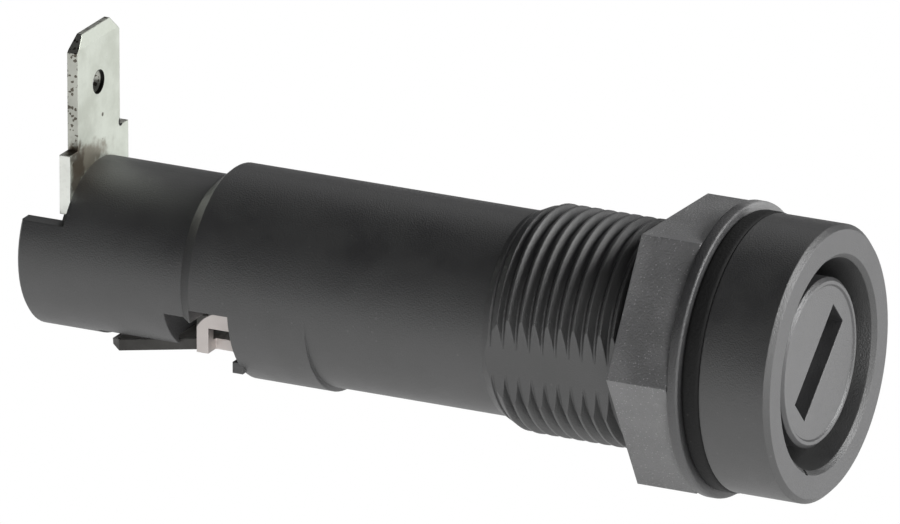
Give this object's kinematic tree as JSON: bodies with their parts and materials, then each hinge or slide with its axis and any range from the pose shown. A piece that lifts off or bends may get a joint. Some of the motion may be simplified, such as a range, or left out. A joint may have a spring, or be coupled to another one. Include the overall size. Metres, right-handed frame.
{
  "type": "panel-mount fuse holder with cartridge fuse",
  "caption": "Threaded panel-mount holder with slotted bayonet knob, nut, gasket, blade terminals and the cartridge fuse inside.",
  "frame": {"origin": "centre of the bezel's rear face, where the holder seats on the front of a panel, on the holder's axis", "axes": "+Y along the holder's axis from the knob to the rear terminal, +Z the way the rear blade points, +X to the right as seen from the front"},
  "size_m": [0.0208, 0.0596, 0.0262],
  "materials": {
    "holder_plastic": "moulded black thermoplastic, satin",
    "nut_plastic": "glass-filled black thermoplastic, slightly rough with fine sparkle",
    "washer_plastic": "black thermoplastic, satin",
    "knob_plastic": "moulded black thermoplastic, satin",
    "retainer_plastic": "moulded black thermoplastic",
    "gasket_rubber": "matt black rubber",
    "tinned_brass": "tin plating over brass, slightly dull, scratched",
    "rivet_brass": "tin plating over brass",
    "spring_bronze": "bright spring bronze",
    "spring_steel": "drawn spring wire",
    "nickel_cap": "bright nickel plating over brass",
    "fuse_glass": "clear glass",
    "element_wire": "drawn tinned wire",
    "solder": "dull solder"
  },
  "bodies": {
    "root": {"holder_body": "holder_plastic", "panel_gasket": "gasket_rubber", "rear_terminal": "tinned_brass", "rear_contact_cup": "tinned_brass", "rear_rivet": "rivet_brass", "side_terminal": "tinned_brass", "contact_finger": "spring_bronze", "side_rivet": "rivet_brass"},
    "washer": {"panel_washer": "washer_plastic"},
    "nut": {"panel_nut": "nut_plastic"},
    "carrier": {"front_contact_cup": "tinned_brass", "carrier_spring": "spring_steel", "fuse_cap_front": "nickel_cap", "fuse_tube": "fuse_glass", "fuse_cap_rear": "nickel_cap", "fuse_element": "element_wire", "fuse_solder_front": "solder", "fuse_solder_rear": "solder"},
    "knob": {"carrier_knob": "knob_plastic", "cup_retainer": "retainer_plastic"}
  },
  "joints": [
    {"name": "carrier_slide", "type": "slide", "parent": "root", "child": "carrier", "axis": [0, -1, 0], "range_m": [0, 0.056]},
    {"name": "knob_turn", "type": "hinge", "parent": "carrier", "child": "knob", "pos_m": [0, 0, 0], "axis": [0, 1, 0], "range_deg": [0, 60]},
    {"name": "nut_travel", "type": "slide", "parent": "root", "child": "washer", "axis": [0, 1, 0], "range_m": [0, 0.0094]},
    {"name": "nut_turn", "type": "hinge", "parent": "washer", "child": "nut", "pos_m": [0, 0, 0], "axis": [0, 1, 0], "range_deg": [0, 3384.01]}
  ],
  "couplings": [
    {"joint": "nut_turn", "follows": "nut_travel", "rad_per_m": 6283.2}
  ]
}
